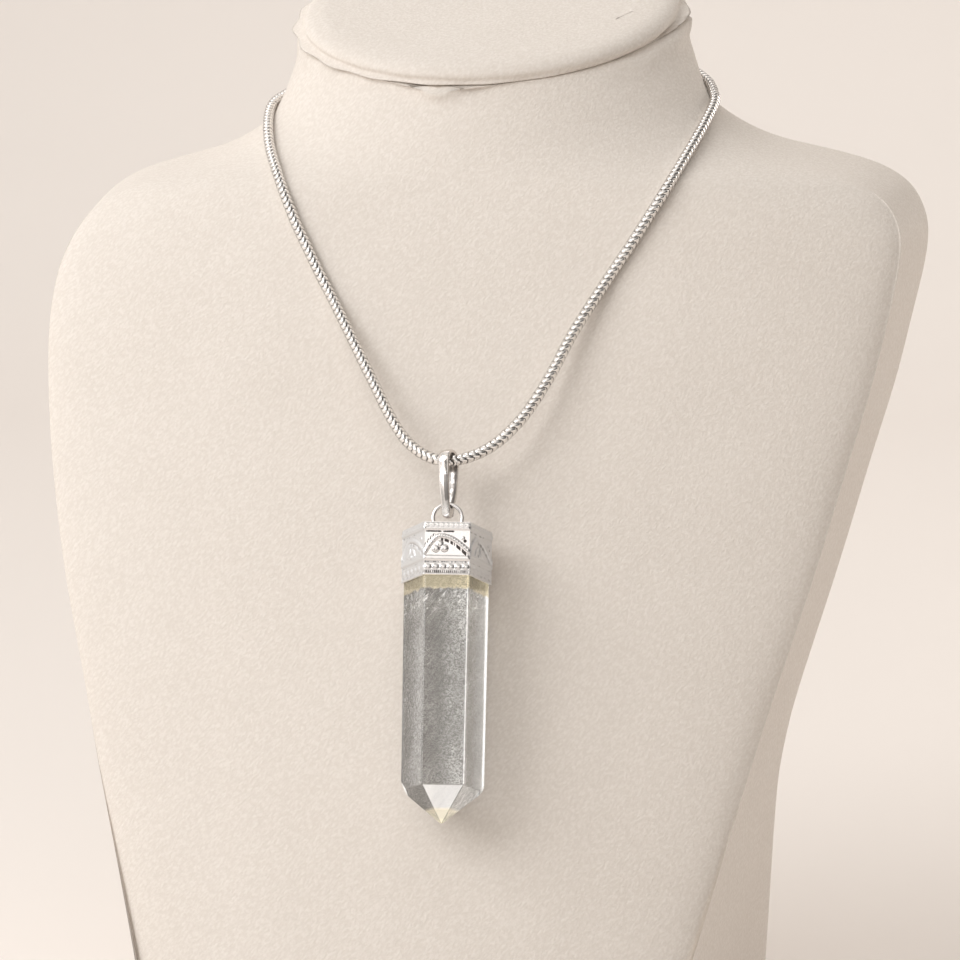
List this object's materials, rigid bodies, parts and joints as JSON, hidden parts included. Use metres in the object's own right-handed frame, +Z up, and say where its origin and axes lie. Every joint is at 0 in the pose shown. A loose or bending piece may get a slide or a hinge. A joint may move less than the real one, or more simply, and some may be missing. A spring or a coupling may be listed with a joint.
{
  "type": "crystal point pendant necklace on a neck bust",
  "caption": "Faceted crystal point in a relief-cast hexagonal cap, hung by a ring and tapered bail on a snake chain around a leather-covered neck bust.",
  "frame": {"origin": "on the flat foot of the bust, at the middle of its width and a little behind the middle of its depth", "axes": "+Z up from the foot, -Y the way the chest and the pendant face, +X the viewer's right"},
  "size_m": [0.2213, 0.1703, 0.2723],
  "materials": {
    "cover": "ivory grained leatherette",
    "chain_silver": "polished silver",
    "cast_silver": "cast silver with darkened recesses",
    "quartz": "cut and polished clear quartz with veils"
  },
  "bodies": {
    "stand": {"bust_body": "cover", "neck_pad": "cover", "chain": "chain_silver", "clasp": "chain_silver"},
    "bail": {"bail": "cast_silver"},
    "drop": {"cap": "cast_silver", "crystal": "quartz"}
  },
  "joints": [
    {"name": "bail_swing", "type": "hinge", "parent": "stand", "child": "bail", "pos_m": [0.0064, 0.0034, 0.15], "axis": [-1, 0, 0], "range_deg": [0, 90]},
    {"name": "drop_swing", "type": "hinge", "parent": "bail", "child": "drop", "pos_m": [0.00692, -0.00087, 0.14031], "axis": [-0.9784, -0.2033, 0.0374], "range_deg": [0, 90]}
  ]
}
